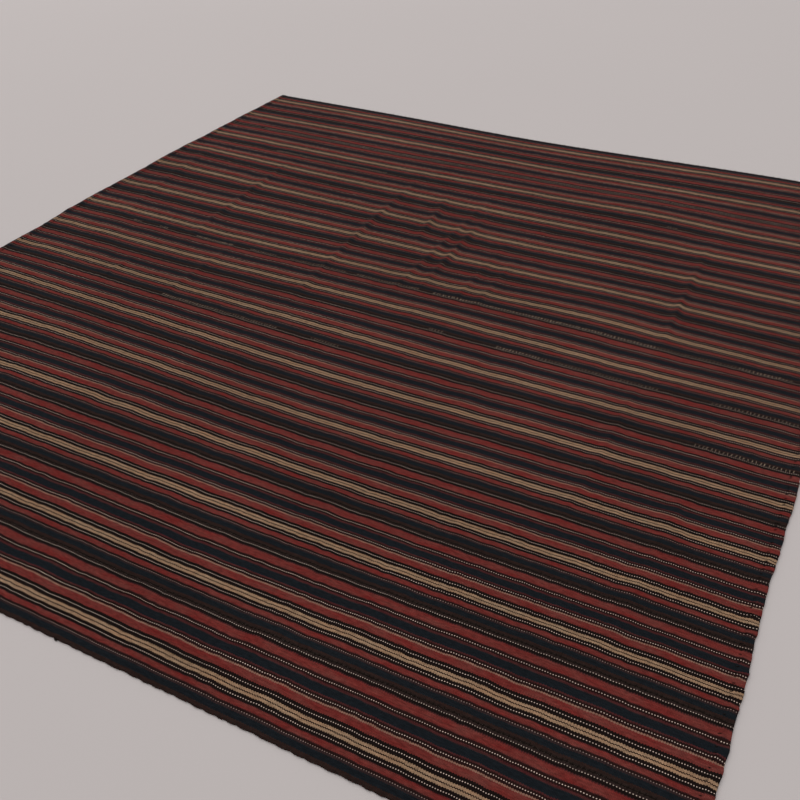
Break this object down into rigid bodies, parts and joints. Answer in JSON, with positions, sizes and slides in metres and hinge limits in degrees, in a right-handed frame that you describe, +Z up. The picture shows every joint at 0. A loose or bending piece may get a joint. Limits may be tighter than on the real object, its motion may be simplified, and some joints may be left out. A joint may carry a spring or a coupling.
{
  "type": "striped kilim rug",
  "caption": "Nearly square flat-woven wool rug of fifteen narrow striped strips sewn edge to edge and hemmed at both ends, lying flat with soft creases.",
  "frame": {"origin": "on the floor under the middle of the rug's outline", "axes": "+X along the stripes, +Y across the stripes towards the two strips that are turned round, +Z up"},
  "size_m": [2.3235, 2.6207, 0.0077],
  "materials": {
    "striped_wool": "matte"
  },
  "bodies": {
    "root": {"strip_01": "striped_wool", "strip_02": "striped_wool", "strip_03": "striped_wool", "strip_04": "striped_wool", "strip_05": "striped_wool", "strip_06": "striped_wool", "strip_07": "striped_wool", "strip_08": "striped_wool", "strip_09": "striped_wool", "strip_10": "striped_wool", "strip_11": "striped_wool", "strip_12": "striped_wool", "strip_13": "striped_wool", "strip_14": "striped_wool", "strip_15": "striped_wool"}
  },
  "joints": []
}
